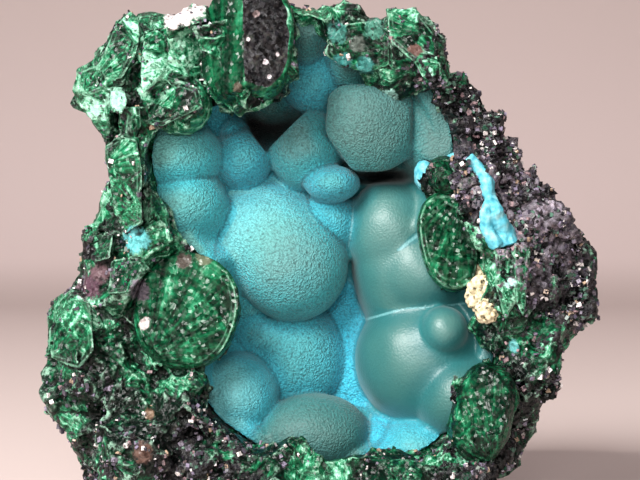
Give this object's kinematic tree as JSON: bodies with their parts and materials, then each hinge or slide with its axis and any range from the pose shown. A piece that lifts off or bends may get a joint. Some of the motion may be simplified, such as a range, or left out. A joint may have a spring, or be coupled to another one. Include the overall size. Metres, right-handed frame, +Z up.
{
  "type": "chrysocolla specimen",
  "caption": "Rough hand specimen of copper ore and malachite, open at the front to a vug lined with smooth round lobes of chrysocolla, standing on a flat trimmed base.",
  "frame": {"origin": "middle of the bounding box, on the plane of the flat trimmed base", "axes": "+Z up from the base, -Y straight out of the open mouth of the vug, +X to the right of someone looking into it"},
  "size_m": [0.0858, 0.0492, 0.0786],
  "materials": {
    "malachite_rock": "rough broken ore with silky green malachite, glossy on broken faces",
    "chrysocolla": "velvety blue-green skin on round lobes, waxy on the right"
  },
  "bodies": {
    "root": {"host_rock": "malachite_rock", "chrysocolla_lining": "chrysocolla"}
  },
  "joints": []
}
